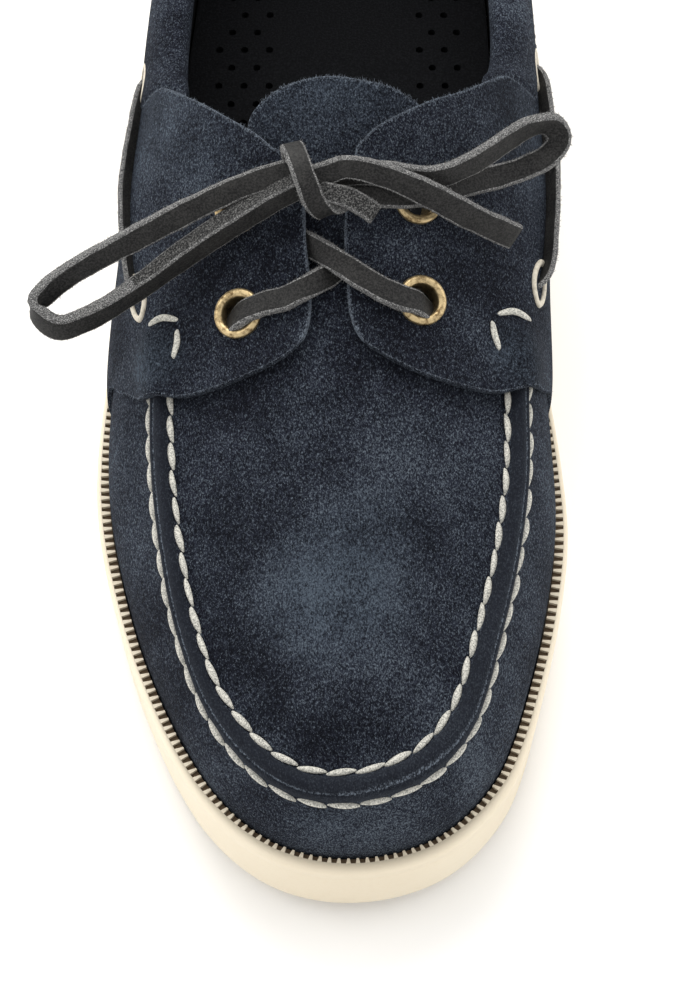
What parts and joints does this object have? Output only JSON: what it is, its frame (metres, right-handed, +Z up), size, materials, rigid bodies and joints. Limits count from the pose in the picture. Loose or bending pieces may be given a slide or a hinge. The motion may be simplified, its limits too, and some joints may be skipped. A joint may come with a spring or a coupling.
{
  "type": "boat shoe",
  "caption": "Suede boat shoe for the right foot, with moccasin toe, cup sole, brass eyelets and a leather lace tied in a bow.",
  "frame": {"origin": "middle of the sole's length and width on the floor", "axes": "+Z up, -Y towards the toe, +X towards the medial side of a right foot"},
  "size_m": [0.1195, 0.298, 0.0924],
  "materials": {
    "suede": "napped navy suede",
    "lining": "matt",
    "rubber": "smooth matt cream",
    "brass": "antique satin",
    "lace": "smooth with fuzzy cut edges"
  },
  "bodies": {
    "root": {"outsole": "rubber", "insole": "lining", "upper": "suede", "quarter_lateral": "suede", "quarter_medial": "suede", "collar": "suede", "tongue": "suede", "eyelet_lateral_front": "brass", "eyelet_lateral_back": "brass", "eyelet_medial_front": "brass", "eyelet_medial_back": "brass", "lace_crossing": "lace", "lace_side_lateral": "lace", "lace_side_medial": "lace", "lace_knot": "lace", "lace_loop_lateral": "lace", "lace_loop_medial": "lace", "lace_end_long": "lace", "lace_end_short": "lace"}
  },
  "joints": []
}
